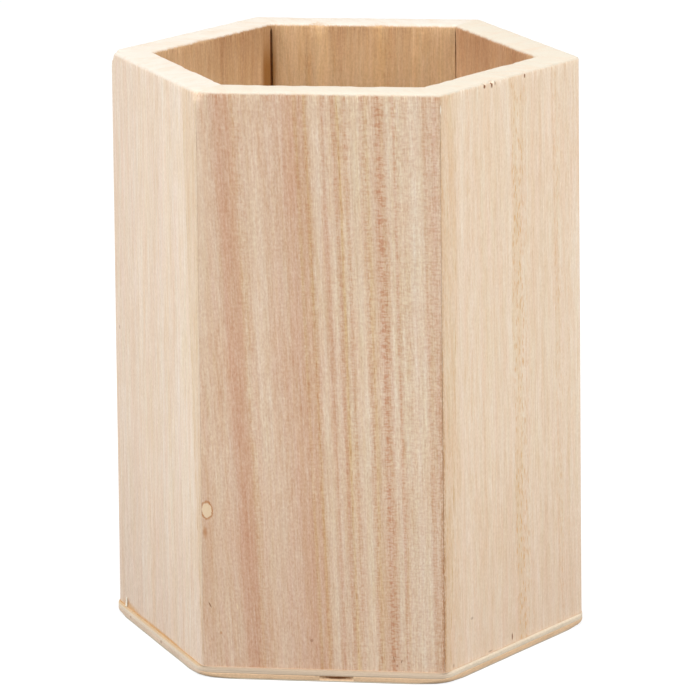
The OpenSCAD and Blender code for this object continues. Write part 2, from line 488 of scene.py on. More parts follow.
class PenHolderWoods(bpy.types.PropertyGroup):
    """Colours of the woods and the glue."""

    front_pale: tint("Front pale", "Pale wood of the front board", 229, 208, 183)
    front_dark: tint("Front dark", "Rosy streaks of the front board", 209, 170, 142)
    right_pale: tint("Right pale", "Pale wood of the front right board", 240, 220, 198)
    right_dark: tint("Right dark", "Streaks of the front right board", 224, 195, 163)
    left_pale: tint("Left pale", "Pale wood of the front left board", 242, 225, 208)
    left_dark: tint("Left dark", "Streaks of the front left board", 227, 204, 182)
    back_pale: tint("Back pale", "Pale wood of the boards at the back", 231, 209, 183)
    back_dark: tint("Back dark", "Streaks of the boards at the back", 210, 176, 144)
    # The well's tones are darker than the outer wood: painted shade
    inside_pale: tint("Inside pale", "Pale wood inside the well", 226, 193, 152)
    inside_dark: tint("Inside dark", "Dark wood inside the well", 171, 129, 91)
    golden: tint("Golden", "What golden streaks leave of the wood's colour", 236, 217, 175)
    rosy: tint("Rosy", "What rosy streaks leave of the wood's colour", 255, 236, 233)
    end_grain: tint("End grain", "Sanded end grain on the rim", 224, 215, 202)
    right_end: tint("Right end", "Sanded end grain of the boards in front and on the right", 218, 209, 192)
    end_lines: tint("End lines", "Growth rings on the rim", 219, 200, 178)
    heart: tint("Heart", "Middle of a knot", 239, 214, 178)
    pores: tint("Pores", "Open pores and beads in the streaks", 182, 122, 70)
    amber: tint("Amber", "Open pores of the boards on the right", 216, 158, 84)
    frayed: tint("Frayed", "Dirt and fraying along the corners", 172, 118, 68)
    # Glue soaked into the inner corners, darkened further as painted shade
    seam: tint("Seam", "Glue that has soaked in along the inner corners", 150, 102, 50)
    glue: tint("Glue", "Dried glue in the joints", 117, 66, 20)
    glue_bed: tint("Glue bed", "Dried glue under the boards", 212, 184, 154)
    # Along the left, the glue's darker orange is partly painted shade at the foot of the boards
    bed_side: tint("Bed side", "Dried glue under the boards on the left", 206, 158, 98)
    # Near white: fresh wood, partly a painted highlight on the splinter
    sliver: tint("Sliver", "Fresh wood of the splinter", 255, 250, 234)
    # Along the base's edges the plies take lit and shaded copies of their tones: painted shade on the front,
    # painted light on the left and right
    face_ply: tint("Face ply", "Upper ply of the base", 228, 208, 182)
    face_front: tint("Face front", "Upper ply of the base along its front edge", 222, 200, 175)
    face_left: tint("Face left", "Upper ply of the base along its left edges", 238, 220, 197)
    face_right: tint("Face right", "Upper ply of the base along its right edges", 232, 215, 191)
    # The top of the front edge is darkened as painted shade, and on the left glue and painted shade darken it
    ledge_front: tint("Ledge front", "Top of the base's front edge", 190, 170, 147)
    ledge_left: tint("Ledge left", "Glue on top of the base's left edges", 214, 185, 148)
    core_ply: tint("Core ply", "Core ply of the base", 233, 198, 160)
    # The core ply is paler along its left edge: painted light
    core_side: tint("Core side", "Core ply of the base along its left edge", 230, 206, 182)
    back_ply: tint("Back ply", "Lower ply of the base", 200, 188, 168)


class PenHolderStage(bpy.types.PropertyGroup):
    """Camera and light levels."""

    azimuth: angle("Azimuth", "Camera's turn to the right of the front", 7.138)
    elevation: angle("Elevation", "Camera's height over the horizon", 14.25)
    aim_turn: angle("Aim turn", "Turn of the aim off the middle", -0.049)
    aim_tilt: angle("Aim tilt", "Tilt of the aim off the middle", 0.14)
    roll: angle("Roll", "Camera's roll", -0.596)
    distance: level("Distance", "Camera's distance from the holder's middle", 0.7515, unit="LENGTH")
    lens: level("Lens", "Focal length in millimetres on a 36 mm sensor", 224.2)
    world_level: level("World", "Strength of the even light from all round", 0.6)
    floor_bounce: level("Floor bounce", "How much light the floor throws back", 0.22)
    top_power: level("Top light", "Power of the light overhead", 2.5, subtype="POWER")
    left_power: level("Left light", "Power of the light on the left", 4.9, subtype="POWER")
    right_power: level("Right light", "Power of the light on the right", 4.8, subtype="POWER")


class Bench:
    """Lays shader nodes in one tree and wires them as they are put down."""

    # How the nodes are laid out, in the editor's units
    COLUMNS = 12
    COLUMN_WIDTH = 200
    ROW_HEIGHT = 260

    # Sockets of a mix node for colours: its factor, its two colours and its result
    MIX_INPUTS = (0, 6, 7)
    MIX_RESULT = 2

    # Noise from about 0.25 to 0.75 is spread by this about zero
    NOISE_SPREAD = 4.0

    def __init__(self, tree):
        self.tree = tree
        tree.nodes.clear()

    def wire(self, socket, value):
        """Links a socket or a node's first output to a socket, or sets the socket's own value."""
        if isinstance(value, bpy.types.Node):
            value = value.outputs[0]
        if isinstance(value, bpy.types.NodeSocket):
            self.tree.links.new(value, socket)
        else:
            socket.default_value = value

    def put(self, kind, wires=None, **settings):
        """Adds a node, sets it up and wires its inputs by name or number."""
        made = self.tree.nodes.new("ShaderNode" + kind)
        row, column = divmod(len(self.tree.nodes), self.COLUMNS)
        made.location = (self.COLUMN_WIDTH * column, -self.ROW_HEIGHT * row)
        for key, value in settings.items():
            setattr(made, key, value)
        for key, value in (wires or {}).items():
            self.wire(made.inputs[key], value)
        return made

    def group(self, name, **wires):
        """Places a node group and wires its inputs, with spaces for the underscores in their names."""
        made = self.put("Group", node_tree=bpy.data.node_groups[name])
        for key, value in wires.items():
            self.wire(made.inputs[key.replace("_", " ").capitalize()], value)
        return made

    def math(self, operation, first, second=0.0, clamp=False):
        """Two values put through a math node."""
        return self.put("Math", {0: first, 1: second}, operation=operation, use_clamp=clamp)

    def times(self, first, second, clamp=False):
        """One value times another."""
        return self.math("MULTIPLY", first, second, clamp)

    def minus(self, first, second):
        """One value less another."""
        return self.math("SUBTRACT", first, second)

    def scaled(self, value, factor, offset=0.0):
        """A value times a factor plus an offset."""
        return self.put("Math", {0: value, 1: factor, 2: offset}, operation="MULTIPLY_ADD")

    def total(self, *shares):
        """The sum of (value, factor) pairs."""
        made = 0.0
        for value, factor in shares:
            made = self.scaled(value, factor, made)
        return made

    def split(self, vector):
        """The three parts of a vector."""
        return self.put("SeparateXYZ", {0: vector}).outputs

    def stretched(self, vector, scale):
        """A vector times another, part by part."""
        return self.put("VectorMath", {0: vector, 1: scale}, operation="MULTIPLY")

    def radius(self, x, y):
        """How far a flat place lies from the middle."""
        place = self.put("CombineXYZ", {"X": x, "Y": y})
        return self.put("VectorMath", {0: place}, operation="LENGTH").outputs["Value"]

    def range(self, value, low, high, to_low=0.0, to_high=1.0, smooth=True):
        """A value mapped from one range to another, eased at both ends unless told otherwise."""
        kind = "SMOOTHSTEP" if smooth else "LINEAR"
        wires = {"Value": value, "From Min": low, "From Max": high, "To Min": to_low, "To Max": to_high}
        return self.put("MapRange", wires, interpolation_type=kind)

    def noise(self, vector, detail=2.0, roughness=0.5):
        """Smooth noise about zero, from about -1 to 1."""
        wires = {"Vector": vector, "Scale": 1.0, "Detail": detail, "Roughness": roughness}
        return self.scaled(self.put("TexNoise", wires), self.NOISE_SPREAD, -self.NOISE_SPREAD / 2)

    def mix(self, factor, first, second, blend="MIX", clamp=True):
        """One colour over another, carried on past both of them where the factor isn't clamped."""
        made = self.put("Mix", data_type="RGBA", blend_type=blend, clamp_factor=clamp)
        for key, value in zip(self.MIX_INPUTS, (factor, first, second)):
            self.wire(made.inputs[key], value)
        return made.outputs[self.MIX_RESULT]

    def ramp(self, value, stops):
        """Three shares read off a value, through (place, share, share, share) stops."""
        first, last = stops[0][0], stops[-1][0]
        made = self.put("ValToRGB", {"Fac": self.range(value, first, last, smooth=False)})
        made.color_ramp.interpolation = "EASE"
        places = made.color_ramp.elements
        for place, *shares in stops:
            spot = (place - first) / (last - first)
            at_end = {0.0: places[0], 1.0: places[-1]}
            element = at_end[spot] if spot in at_end else places.new(spot)
            element.color = (*shares, 1)
        return made


def screen(colour):
    """A colour written as it looks on screen, as linear RGBA."""
    return (*Color(colour).from_srgb_to_scene_linear(), 1)


def new_group(name, inputs, outputs):
    """An empty shader node group with float inputs, except for the vectors, and float outputs."""
    tree = bpy.data.node_groups.new(name, "ShaderNodeTree")
    for way, sockets in (("INPUT", inputs), ("OUTPUT", outputs)):
        for socket in sockets:
            kind = "NodeSocketVector" if socket in ("Board", "Flow") else "NodeSocketFloat"
            tree.interface.new_socket(name=socket, in_out=way, socket_type=kind)
    bench = Bench(tree)
    source = tree.nodes.new("NodeGroupInput")
    sink = tree.nodes.new("NodeGroupOutput")
    return bench, source.outputs, sink.inputs


def seeded(bench, vector, seed):
    """The vector moved far off by a seed, so that each board cuts another part of the noise."""
    away = bench.put("VectorMath", {0: (31.7, 17.3, 53.9), "Scale": seed}, operation="SCALE")
    return bench.put("VectorMath", {0: vector, 1: away}, operation="ADD")


def grain_flow_group():
    """Where each point lies across the grain: lines lean, gather towards the foot and wander a little."""
    bench, given, made = new_group(
        "Grain flow", ("Board", "Lean", "Gather", "Wander", "Seed"), ("Across", "Flow"))
    x, y, z = bench.split(given["Board"])
    below = bench.minus(RIM_MM, z)
    upright = bench.minus(x, bench.times(below, given["Lean"]))
    spread = bench.minus(1.0, bench.times(below, given["Gather"]))
    straight = bench.math("DIVIDE", upright, spread)
    waves = []
    for scale, detail, share in (((0.09, 0.09, 0.022), 1.0, 1.0), ((0.5, 0.5, 0.3), 2.0, 0.12)):
        place = seeded(bench, bench.stretched(given["Board"], scale), given["Seed"])
        waves.append((bench.noise(place, detail), share))
    wander = bench.times(bench.total(*waves), given["Wander"])
    depth = bench.math("ADD", y, OUTER_MM)
    across = bench.total((straight, 1.0), (wander, 1.0), (depth, 0.35))
    bench.wire(made["Across"], across)
    bench.wire(made["Flow"], bench.put("CombineXYZ", {"X": across, "Y": y, "Z": z}))


def fibre_group():
    """Fine structure along the grain, each part from about -1 to 1."""
    bench, given, made = new_group("Fibres", ("Flow", "Seed"), tuple(FIBRES))
    place = seeded(bench, given["Flow"], given["Seed"])
    for name, (scale, detail) in FIBRES.items():
        bench.wire(made[name], bench.noise(bench.stretched(place, scale), detail))


def pore_group():
    """Open pores: short dark dashes along the grain, some cells left empty."""
    bench, given, made = new_group("Pores", ("Flow", "Seed", "Width", "Length", "Share"), ("Mask",))
    across = bench.math("DIVIDE", 1.0, given["Width"])
    along = bench.math("DIVIDE", 1.0, given["Length"])
    scale = bench.put("CombineXYZ", {"X": across, "Y": across, "Z": along})
    place = bench.stretched(seeded(bench, given["Flow"], given["Seed"]), scale)
    cells = bench.put("TexVoronoi", {"Vector": place, "Scale": 1.0, "Randomness": 0.9})
    dash = bench.range(cells.outputs["Distance"], 0.5, 0.2)
    draw = bench.put("SeparateColor", {0: cells.outputs["Color"]})
    kept = bench.math("LESS_THAN", draw.outputs[0], given["Share"])
    bench.wire(made["Mask"], bench.times(dash, kept))


def end_grain_group():
    """Sawn and sanded end grain: rows of small dots along the growth rings, and the rings themselves."""
    bench, given, made = new_group("End grain", ("Flow", "Seed"), ("Dots", "Rings"))
    place = seeded(bench, given["Flow"], given["Seed"])
    cells = bench.put("TexVoronoi", {"Vector": bench.stretched(place, (2.6, 2.2, 0.02)), "Scale": 1.0})
    bench.wire(made["Dots"], bench.range(cells.outputs["Distance"], 0.4, 0.12))
    bench.wire(made["Rings"], bench.noise(bench.stretched(place, (0.45, 0.2, 0.02)), 4.0, 0.65))


def spot_group():
    """Distance from a mark's middle on an outer face, as 1 at its edge, with the edge a little ragged."""
    names = ("Across", "Height", "Half width", "Half height", "Lean")
    bench, given, made = new_group("Spot", ("Board", *names), ("Radius",))
    x, y, z = bench.split(given["Board"])
    across = bench.minus(x, given["Across"])
    up = bench.minus(z, given["Height"])
    slanted = bench.math("ADD", across, bench.times(up, bench.math("TANGENT", given["Lean"])))
    wide = bench.math("DIVIDE", slanted, given["Half width"])
    tall = bench.math("DIVIDE", up, given["Half height"])
    ragged = bench.noise(bench.stretched(given["Board"], (1.7, 1.7, 1.7)), 2.0)
    behind = bench.math("GREATER_THAN", y, 1 - OUTER_MM)
    far = 100.0
    bench.wire(made["Radius"], bench.total((bench.radius(wide, tall), 1.0), (ragged, 0.13), (behind, far)))


GROUPS = (grain_flow_group, fibre_group, pore_group, end_grain_group, spot_group)


def new_material(name):
    """A material with an empty tree, its bench and its object coordinates."""
    material = bpy.data.materials.new(name)
    material.use_nodes = True
    bench = Bench(material.node_tree)
    return material, bench, bench.put("TexCoord").outputs["Object"]


def finish_material(bench, colour, roughness, height, depth, specular=0.3):
    """Ends a tree in a Principled shader with a bump from a height in units of a depth in millimetres."""
    bump = bench.put("Bump", {"Strength": 1.0, "Distance": depth * MM, "Height": height})
    shader = bench.put("BsdfPrincipled", {
        "Base Color": colour, "Roughness": roughness, "Normal": bump, "Specular IOR Level": specular})
    bench.put("OutputMaterial", {"Surface": shader})


def in_board(bench, place, turn):
    """Object coordinates turned into a board's own, in millimetres: x across it, y into it and z up."""
    return bench.put("Mapping", {"Vector": place, "Rotation": (0, 0, -turn), "Scale": (1 / MM,) * 3})


def streak_shares(bench, across, streaks):
    """The board's own streaks at a place across it: how dark, how golden and how porous."""
    half = len(streaks) // 2
    left = bench.ramp(across, streaks[:half + 1])
    right = bench.ramp(across, streaks[half:])
    past = bench.math("GREATER_THAN", across, streaks[half][0])
    return bench.put("SeparateColor", {0: bench.mix(past, left, right)}).outputs


def strip_masks(bench, strip, x, z):
    """The strip of other wood along one end of a board, and the line where it starts."""
    down = bench.range(z, FOOT_MM, RIM_MM, 1.0, 0.0, smooth=False)
    narrowing = bench.math("POWER", down, strip.bow)
    width = bench.scaled(narrowing, strip.at_foot - strip.at_rim, strip.at_rim)
    within = bench.minus(width, bench.scaled(x, -strip.end, HALF_SIDE / MM))
    line = bench.range(bench.math("ABSOLUTE", within), 0.25, 0.0)
    return bench.range(within, -strip.soft, strip.soft), line


def corner_stains(bench, x, y, z, fibres, joints):
    """Brown fraying along the outer arrises, most near the foot, and dark glue with painted shade along the
    inner corners, more of it deeper down.
    """
    patches = bench.total((fibres["Grit"], 0.6), (fibres["Short"], 0.6))
    patchy = bench.range(patches, -0.6, 0.5, 0.15, 1.0)
    low = bench.range(z, 75.0, 15.0, 0.2, 1.0)
    # Glue and painted shade in the inner corners grow deeper down
    sunk = bench.range(z, RIM_MM - 1, RIM_MM - 8, 0.4, 1.0)
    frayed = []
    smeared_glue_and_shade = []
    for end, joint, band in zip((-1, 1), joints, SMEARED_BANDS):
        off = bench.total((x, end), (y, MITRE_TAN))
        frayed.append((bench.range(off, *FRAYED_BAND, 0.0, joint.stain_outside), 1.0))
        smeared_glue_and_shade.append((bench.range(off, *band, 0.0, joint.stain_and_shade_inside), 1.0))
    outside = bench.times(bench.total(*frayed), bench.times(patchy, low))
    return outside, bench.times(bench.total(*smeared_glue_and_shade), sunk)


def board_wood(board, turn, joints, tones, woods):
    """Bare sanded wood of one board, with its own streaks, pores, marks and end grain, and painted shade
    towards the foot, in the well and along its inner corners.
    """
    material, bench, place = new_material(board.name + "_wood")
    local = in_board(bench, place, turn)
    x, y, z = bench.split(local)
    seed = 1.0 + turn
    flow = bench.group(
        "Grain flow", board=local, lean=board.lean, gather=board.gather, wander=board.wander, seed=seed)
    across, along = flow.outputs
    fibres = bench.group("Fibres", flow=along, seed=seed).outputs
    pores = bench.group(
        "Pores", flow=along, seed=seed, width=PORE_WIDTH, length=PORE_LENGTH, share=PORE_SHARE)
    end = bench.group("End grain", flow=along, seed=seed).outputs
    dark, gold, porous = streak_shares(bench, across, board.streaks)

    # How dark, how golden and how rosy the wood is
    fine = bench.total((fibres["Long"], 0.22), (fibres["Short"], 0.28), (fibres["Grit"], 0.34))
    rungs = bench.range(fibres["Rungs"], -0.3, 0.6, -0.35, 0.65)
    rungs = bench.times(rungs, bench.scaled(dark, 0.4 * board.rungs, 0.45 * board.rungs))
    beaded = bench.times(porous, rungs)
    fuzz = bench.times(bench.range(z, RIM_MM - 2, RIM_MM - 0.5), fibres["Short"])
    depth = bench.total(
        (dark, 1.0), (fine, 0.7 * board.fibre), (beaded, 1.0), (fibres["Blotch"], 0.12), (fuzz, 0.4))
    gilt = bench.total((gold, 1.0), (fibres["Hue"], 0.17), (fibres["Tone"], 0.15))
    # Painted shade towards the foot, as the light falls off downwards: there the wood turns rosy and darker
    low = bench.range(z, LOW_START, 0.0)
    rose = bench.total((fibres["Rose"], 0.22), (beaded, 0.06), (low, 0.18), (1.0, board.rosy))
    if board.strip:
        strip, line = strip_masks(bench, board.strip, x, z)
        broken = bench.times(line, bench.range(fibres["Short"], -0.4, 0.6))
        depth = bench.total((depth, 1.0), (strip, board.strip.depth), (broken, 0.5))
        gilt = bench.total((gilt, 1.0), (strip, board.strip.gold), (broken, 0.4))

    # Its colour outside, and in the well, whose darker tones are painted shade, with painted light against
    # the well's own shade: darker at the rim and paler further down
    in_well = bench.range(y, -MIDDLE_MM - 1, -MIDDLE_MM + 1)
    outside = bench.mix(depth, screen(tones.pale), screen(tones.dark), clamp=False)
    painted_well_light = bench.range(z, RIM_MM, RIM_MM - WELL_FADE, 0.14, -0.26, smooth=False)
    well = bench.total((depth, 0.45), (painted_well_light, 1.0), (1.0, board.inside))
    inside = bench.mix(well, screen(woods.inside_pale), screen(woods.inside_dark), clamp=False)
    wood = bench.mix(in_well, outside, inside)
    wood = bench.mix(gilt, wood, screen(woods.golden), "MULTIPLY", clamp=False)
    wood = bench.mix(rose, wood, screen(woods.rosy), "MULTIPLY", clamp=False)
    # Painted shade, as the light falls off downwards: darker towards mid height and the foot, with the fine
    # fibres darkening it too
    halfway, foot = board.shade
    middle = bench.range(z, SHADE_START, SHADE_HALFWAY)
    shade = bench.total((fine, 0.1 * board.fibre), (middle, halfway), (low, foot - halfway))
    wood = bench.mix(shade, wood, BLACK, clamp=False)

    # Pores, stains and marks; along the inner corners glue with painted shade, and among the marks a painted
    # shadow and a painted highlight
    filled = bench.scaled(gold, 1.2 * board.dashes, 0.4 * board.dashes)
    open_pores = bench.times(bench.times(porous, pores), filled, clamp=True)
    wood = bench.mix(bench.times(open_pores, 0.7), wood, screen(tones.pores))
    frayed, smeared_glue_and_shade = corner_stains(bench, x, y, z, fibres, joints)
    wood = bench.mix(bench.mix(in_well, frayed, BLACK), wood, screen(woods.frayed))
    wood = bench.mix(bench.mix(in_well, BLACK, smeared_glue_and_shade), wood, screen(woods.seam))
    for spot in board.spots:
        wood = spotted(bench, wood, local, spot, woods)

    # End grain on the rim
    ragged = bench.total((z, 1.0), (fibres["Hue"], 0.1), (fibres["Short"], 0.1))
    rim = bench.range(ragged, RIM_MM - 0.55, RIM_MM - 0.15)
    top = bench.mix(bench.range(end["Rings"], -0.4, 1.4), screen(tones.end), screen(woods.end_lines))
    top = bench.mix(bench.times(end["Dots"], 0.06), top, screen(woods.pores))
    wood = bench.mix(rim, wood, top)

    relief = bench.total((fibres["Short"], 0.3), (fibres["Grit"], 0.3), (open_pores, -1.0))
    finish_material(bench, wood, bench.scaled(fibres["Long"], 0.04, 0.66), relief, 0.03)
    return material


def spotted(bench, wood, local, spot, woods):
    """The wood with one small mark on it."""
    radius = bench.group(
        "Spot", board=local, across=spot.across, height=spot.height, half_width=spot.half_width,
        half_height=spot.half_height, lean=math.radians(spot.lean))
    if spot.kind == "knot":
        return knotted(bench, wood, local, radius, woods)
    share, full, stain = SPOT_LOOKS[spot.kind]
    mask = bench.times(bench.range(radius, 1.1, full), share)
    return bench.mix(mask, wood, screen(getattr(woods, stain)))


def knotted(bench, wood, local, radius, woods):
    """The wood with a small knot: a pale heart in a dark ring that is broken in places."""
    heart = bench.times(bench.range(radius, 1.0, 0.7), 0.75)
    wood = bench.mix(heart, wood, screen(woods.heart))
    ring = bench.minus(bench.range(radius, 1.15, 0.98), bench.range(radius, 0.95, 0.8))
    patchy = bench.noise(bench.stretched(local, (0.9, 0.9, 0.9)))
    broken = bench.range(patchy, -0.6, 0.5, 0.65, 1.0)
    return bench.mix(bench.times(ring, broken), wood, screen(woods.pores))


def by_lit_side(bench, place, flat, front, left, right):
    """One tone on the flat of a plate, and others along its front, left and right edges, which paint light
    and shade by side.
    """
    x, y, _ = bench.split(place)
    edge = bench.mix(bench.range(x, -FRONT_STOP, -SIDE_START), screen(front), screen(left))
    edge = bench.mix(bench.range(x, FRONT_STOP, SIDE_START), edge, screen(right))
    on_edge = bench.range(bench.radius(x, y), OUTER - MM, OUTER - 0.4 * MM)
    return bench.mix(on_edge, screen(flat), edge)


def patchy_material(name, tone, paler, left=None):
    """One tone that is paler in places, with another one along the left edge if there is one, which on the
    glue bed is partly painted shade.
    """
    material, bench, place = new_material(name)
    patchy = bench.noise(bench.stretched(place, (900, 900, 250)), 3.0)
    plain = by_lit_side(bench, place, tone, tone, left or tone, tone)
    pale = bench.mix(paler, plain, WHITE)
    colour = bench.mix(bench.range(patchy, -0.8, 1.2), plain, pale)
    finish_material(bench, colour, bench.scaled(patchy, 0.08, 0.7), patchy, 0.02, 0.05)
    return material


def ply_material(name, tones, ledge, dark_share, turn, spots, woods):
    """One veneer of the base: long fibres across its faces, and along its edges tones painted with light and
    shade by side, and marks.
    """
    material, bench, place = new_material(name)
    local = in_board(bench, place, -turn)
    layers = [
        (bench.noise(bench.stretched(local, scale), detail), share) for scale, detail, share in PLY_FIBRES]
    grain = layers[0][0]
    depth = bench.math("ADD", bench.total(*layers), 0.35, clamp=True)
    plain = by_lit_side(bench, place, *tones)
    # The top of the face ply's edge: painted shade along the front, glue and painted shade along the left,
    # and a painted highlight along the right
    if ledge:
        up = bench.split(place)["Z"]
        top = by_lit_side(bench, place, tones[0], *ledge)
        plain = bench.mix(bench.range(up, FOOT - 0.5 * MM, FOOT - 0.2 * MM), plain, top)
    wood = bench.mix(bench.times(depth, dark_share), plain, BLACK)
    for side, spot in spots:
        wood = spotted(bench, wood, in_board(bench, place, side * TURN), spot, woods)
    finish_material(bench, wood, bench.scaled(grain, 0.04, 0.68), grain, 0.015)
    return material


def of_kind(parts, kind):
    """The parts of a mesh that are of one kind."""
    return [part for part in parts if isinstance(part, kind)]


def spin(bm, turn, axis="Z", verts=None):
    """Turns the mesh, or only some verts, about an axis."""
    bmesh.ops.rotate(bm, verts=verts or bm.verts[:], matrix=Matrix.Rotation(turn, 3, axis))


def shift(bm, along):
    """Moves the mesh along a vector."""
    bmesh.ops.translate(bm, verts=bm.verts[:], vec=along)


def bisect(bm, place, normal, clear=False, faces=None):
    """Cuts through the mesh, or only some faces, and returns the verts and edges of the cut."""
    geom = bm.verts[:] + bm.edges[:] + bm.faces[:]
    if faces is not None:
        edges = {edge for face in faces for edge in face.edges}
        verts = {vert for face in faces for vert in face.verts}
        geom = [*verts, *edges, *faces]
    cut = bmesh.ops.bisect_plane(
        bm, geom=geom, dist=1e-7, plane_co=place, plane_no=normal, clear_outer=clear)["geom_cut"]
    return of_kind(cut, bmesh.types.BMVert), of_kind(cut, bmesh.types.BMEdge)


def run_out(bm, along):
    """Extrudes all faces along a vector, with the sides in the same order each run."""
    border = [edge for edge in bm.edges if edge.is_boundary]
    copied = bmesh.ops.duplicate(bm, geom=bm.verts[:] + bm.edges[:] + bm.faces[:])
    bmesh.ops.translate(bm, verts=of_kind(copied["geom"], bmesh.types.BMVert), vec=along)
    twin = copied["vert_map"]
    for edge in border:
        first, second = edge.verts
        bm.faces.new((first, second, twin[second], twin[first]))


def round_corner(bm, vert, offset, segments):
    """Rounds one corner of a flat outline, starting an offset before it."""
    bmesh.ops.bevel(
        bm, geom=[vert], offset=offset, affect="VERTICES", segments=segments, profile=0.5, material=-1)


def edges_along(bm, axis, least):
    """The edges that run further than a length along an axis."""
    return [edge for edge in bm.edges if abs(edge.verts[0].co[axis] - edge.verts[1].co[axis]) > least]


def rough(x, y, z):
    """Seeded noise at a place, from about -1 to 1."""
    return noise.noise(Vector((x, y, z)))


def rounding(from_edge, radius):
    """How far a rounded edge of a radius stands back at a distance from the edge."""
    short = max(0.0, radius - from_edge)
    return radius - math.sqrt(radius**2 - short**2)


def new_mesh(name, bm, material):
    """A mesh of one material."""
    mesh = bpy.data.meshes.new(name)
    bm.to_mesh(mesh)
    bm.free()
    mesh.materials.append(material)
    return mesh


def new_object(name, data):
    """An object in the scene."""
    made = bpy.data.objects.new(name, data)
    bpy.context.scene.collection.objects.link(made)
    return made


def add_piece(name, bm, material, nodes=()):
    """Makes a finished mesh an object that rides on the holder and stands for CAD nodes."""
    bmesh.ops.recalc_face_normals(bm, faces=bm.faces[:])
    mesh = new_mesh(name, bm, material)
    mesh.polygons.foreach_set("use_smooth", [len(face.vertices) < LARGE_FACE for face in mesh.polygons])
    mesh.set_sharp_from_angle(angle=SHARP_ANGLE)
    piece = new_object(name, mesh)
    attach(piece, BODY)
    for node in nodes:
        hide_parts(node)


def board_slab(sizes, left, right):
    """A slab longer than the front board, its rim edges rounded and both outer corners eased."""
    bm = bmesh.new()
    section = ((-OUTER, FOOT), (-INNER, FOOT), (-INNER, RIM), (-OUTER, RIM))
    corners = [bm.verts.new((0, y, z)) for y, z in section]
    bm.faces.new(corners)
    round_corner(bm, corners[3], sizes.rim_radius, RIM_SEGMENTS)
    round_corner(bm, corners[2], sizes.mouth_radius, MOUTH_SEGMENTS)
    upright = edges_along(bm, 2, RIM / 2)
    bmesh.ops.subdivide_edges(bm, edges=upright, cuts=round((RIM - FOOT) / sizes.row))
    run = 2.2 * HALF_SIDE
    run_out(bm, (run, 0, 0))
    shift(bm, (-run / 2, 0, 0))
    lengthwise = edges_along(bm, 0, run / 2)
    bmesh.ops.subdivide_edges(bm, edges=lengthwise, cuts=round(run / sizes.column), use_grid_fill=True)
    ease_arris(bm, sizes, 1, right.arris * MM)
    ease_arris(bm, sizes, -1, left.arris * MM)
    return bm


def ease_arris(bm, sizes, side, radius):
    """Rounds the outer face off towards one mitre, as the arris of the closed hexagon is."""
    tangent = (OUTER - radius) * MITRE_TAN
    for step in range(ARRIS_STEPS):
        off = tangent + radius * math.sin(MITRE * step / ARRIS_STEPS)
        bisect(bm, (side * off, 0, 0), (1, 0, 0))
    for vert in bm.verts:
        past = min(side * vert.co.x - tangent, radius)
        if past > 0 and vert.co.y < sizes.rim_radius - OUTER:
            vert.co.y += radius - math.sqrt(radius**2 - past**2)


def leaning(sizes, height):
    """How much larger the ring of boards is at a height: it leans in to the rim and out to the foot."""
    rise = (height - FOOT) / (RIM - FOOT)
    return 1 + (sizes.foot_flare - rise * (sizes.foot_flare + sizes.rim_lean)) / OUTER


def lean_board(bm, sizes):
    """Leans the board in towards the rim and out towards the foot."""
    for vert in bm.verts:
        vert.co.xy *= leaning(sizes, vert.co.z)


def sand(bm, sizes, seed):
    """Lets the outer face wander from flat and the rim's edges vary, as hand sanding leaves them."""
    own = seed * 10
    for vert in bm.verts:
        x, y, z = vert.co
        slow = rough(x * FACE_WAVES, own, z * UPRIGHT_WAVES)
        edge = rough(x * EDGE_WAVES, own + 5, y * DEPTH_WAVES)
        edge += 0.6 * rough(x * NICK_WAVES, own + 7, y * DEPTH_WAVES)
        near_rim = max(0.0, 1 - (RIM - z) / SANDED_BAND)
        if y < -MIDDLE:
            vert.co.y += sizes.wobble * slow + OUTER_LOSS * near_rim * max(0.0, edge)
        else:
            vert.co.y -= INNER_LOSS * near_rim * max(0.0, edge)
        vert.co.z -= TOP_LOSS * near_rim * abs(slow + edge)


def near_to(bm, middle, reach):
    """The faces of a mesh around a place."""
    return [face for face in bm.faces if (face.calc_center_median() - middle).length < reach]


def knock(bm, marks, depth_side, push):
    """Knocks the rim's edge on one face: each mark is (place, depth, radius) in millimetres."""
    for place, depth, radius in marks:
        middle = Vector((place * MM, depth_side, RIM))
        for share in KNOCK_CUTS:
            for normal in (Vector((1, 0, 0)), Vector((0, 0, 1))):
                near = near_to(bm, middle, 2 * radius * MM)
                bisect(bm, middle + normal * share * radius * MM, normal, faces=near)
        for vert in bm.verts:
            share = max(0.0, 1 - ((vert.co - middle).length / (radius * MM))**2)**2
            vert.co += Vector((0, push, -KNOCK_DROP)) * depth * MM * share


def score_strip(bm, strip):
    """Scores the fine line where a strip of other wood is glued to the board's end."""
    at_rim = strip.end * (HALF_SIDE - strip.at_rim * MM)
    at_foot = strip.end * (HALF_SIDE - strip.at_foot * MM)
    line = Vector((at_rim - at_foot, 0, RIM - FOOT)).normalized()
    normal = Vector((line.z, 0, -line.x))
    start = Vector((at_foot, 0, FOOT))
    for offset in (-SCORE_HALF, 0, SCORE_HALF):
        outside = [face for face in bm.faces if face.calc_center_median().y < SKIN - OUTER]
        bisect(bm, start + normal * offset * MM, normal, faces=outside)
    for vert in bm.verts:
        if abs((vert.co - start).dot(normal)) < SAME and vert.co.y < SKIN - OUTER:
            vert.co.y += SCORE_DEPTH


